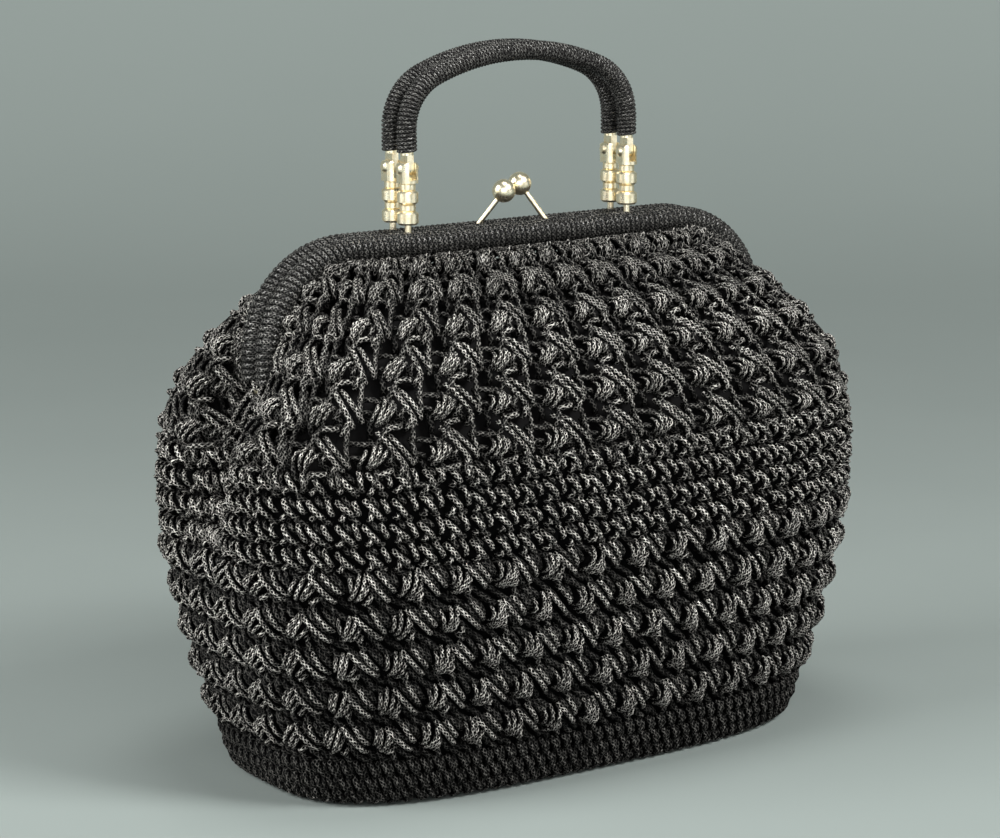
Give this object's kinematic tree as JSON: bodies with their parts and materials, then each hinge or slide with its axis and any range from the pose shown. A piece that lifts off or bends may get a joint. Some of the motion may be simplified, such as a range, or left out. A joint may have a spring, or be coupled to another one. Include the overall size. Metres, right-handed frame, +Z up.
{
  "type": "handbag",
  "caption": "Plump crocheted cord handbag on a hinged kiss-lock frame wrapped with cord, with arched wrapped handles on turned brass posts that fold outwards.",
  "frame": {"origin": "centre of the base on the floor", "axes": "+X along the bag's width to the right as seen from the front, -Y out of the front, +Z up"},
  "size_m": [0.283, 0.1548, 0.2805],
  "materials": {
    "crochet_cord": "glossy braided cord, crocheted",
    "wrapping_cord": "glossy braided cord, closely wound",
    "lining_cloth": "matt woven lining",
    "base_board": "plain fibreboard",
    "frame_steel": "plain bar",
    "handle_core": "plain core",
    "brass": "polished, gilt"
  },
  "bodies": {
    "root": {"crochet_base": "crochet_cord", "crochet_sides": "crochet_cord", "base_board": "base_board", "lining_base": "lining_cloth", "lining_body": "lining_cloth", "back_frame_bar": "frame_steel", "back_frame_wrap": "wrapping_cord", "hinge_rivet_left": "brass", "hinge_rivet_right": "brass", "back_left_post": "brass", "back_right_post": "brass", "back_left_pin": "brass", "back_right_pin": "brass", "back_clasp_stem": "brass", "back_clasp_ball": "brass"},
    "front_frame": {"crochet_front_panel": "crochet_cord", "lining_front_panel": "lining_cloth", "front_frame_bar": "frame_steel", "front_frame_wrap": "wrapping_cord", "front_left_post": "brass", "front_right_post": "brass", "front_left_pin": "brass", "front_right_pin": "brass", "front_clasp_stem": "brass", "front_clasp_ball": "brass"},
    "front_handle": {"front_left_tang": "brass", "front_right_tang": "brass", "front_handle_core": "handle_core", "front_handle_wrap": "wrapping_cord"},
    "back_handle": {"back_left_tang": "brass", "back_right_tang": "brass", "back_handle_core": "handle_core", "back_handle_wrap": "wrapping_cord"}
  },
  "joints": [
    {"name": "frame_hinge", "type": "hinge", "parent": "root", "child": "front_frame", "pos_m": [0, 0, 0.153], "axis": [1, 0, 0], "range_deg": [0, 55], "deforming": ["crochet_front_panel", "lining_front_panel"]},
    {"name": "front_handle_fold", "type": "hinge", "parent": "front_frame", "child": "front_handle", "pos_m": [0, -0.0055, 0.234], "axis": [1, 0, 0], "range_deg": [0, 95]},
    {"name": "back_handle_fold", "type": "hinge", "parent": "root", "child": "back_handle", "pos_m": [0, 0.0055, 0.234], "axis": [-1, 0, 0], "range_deg": [0, 95]}
  ]
}
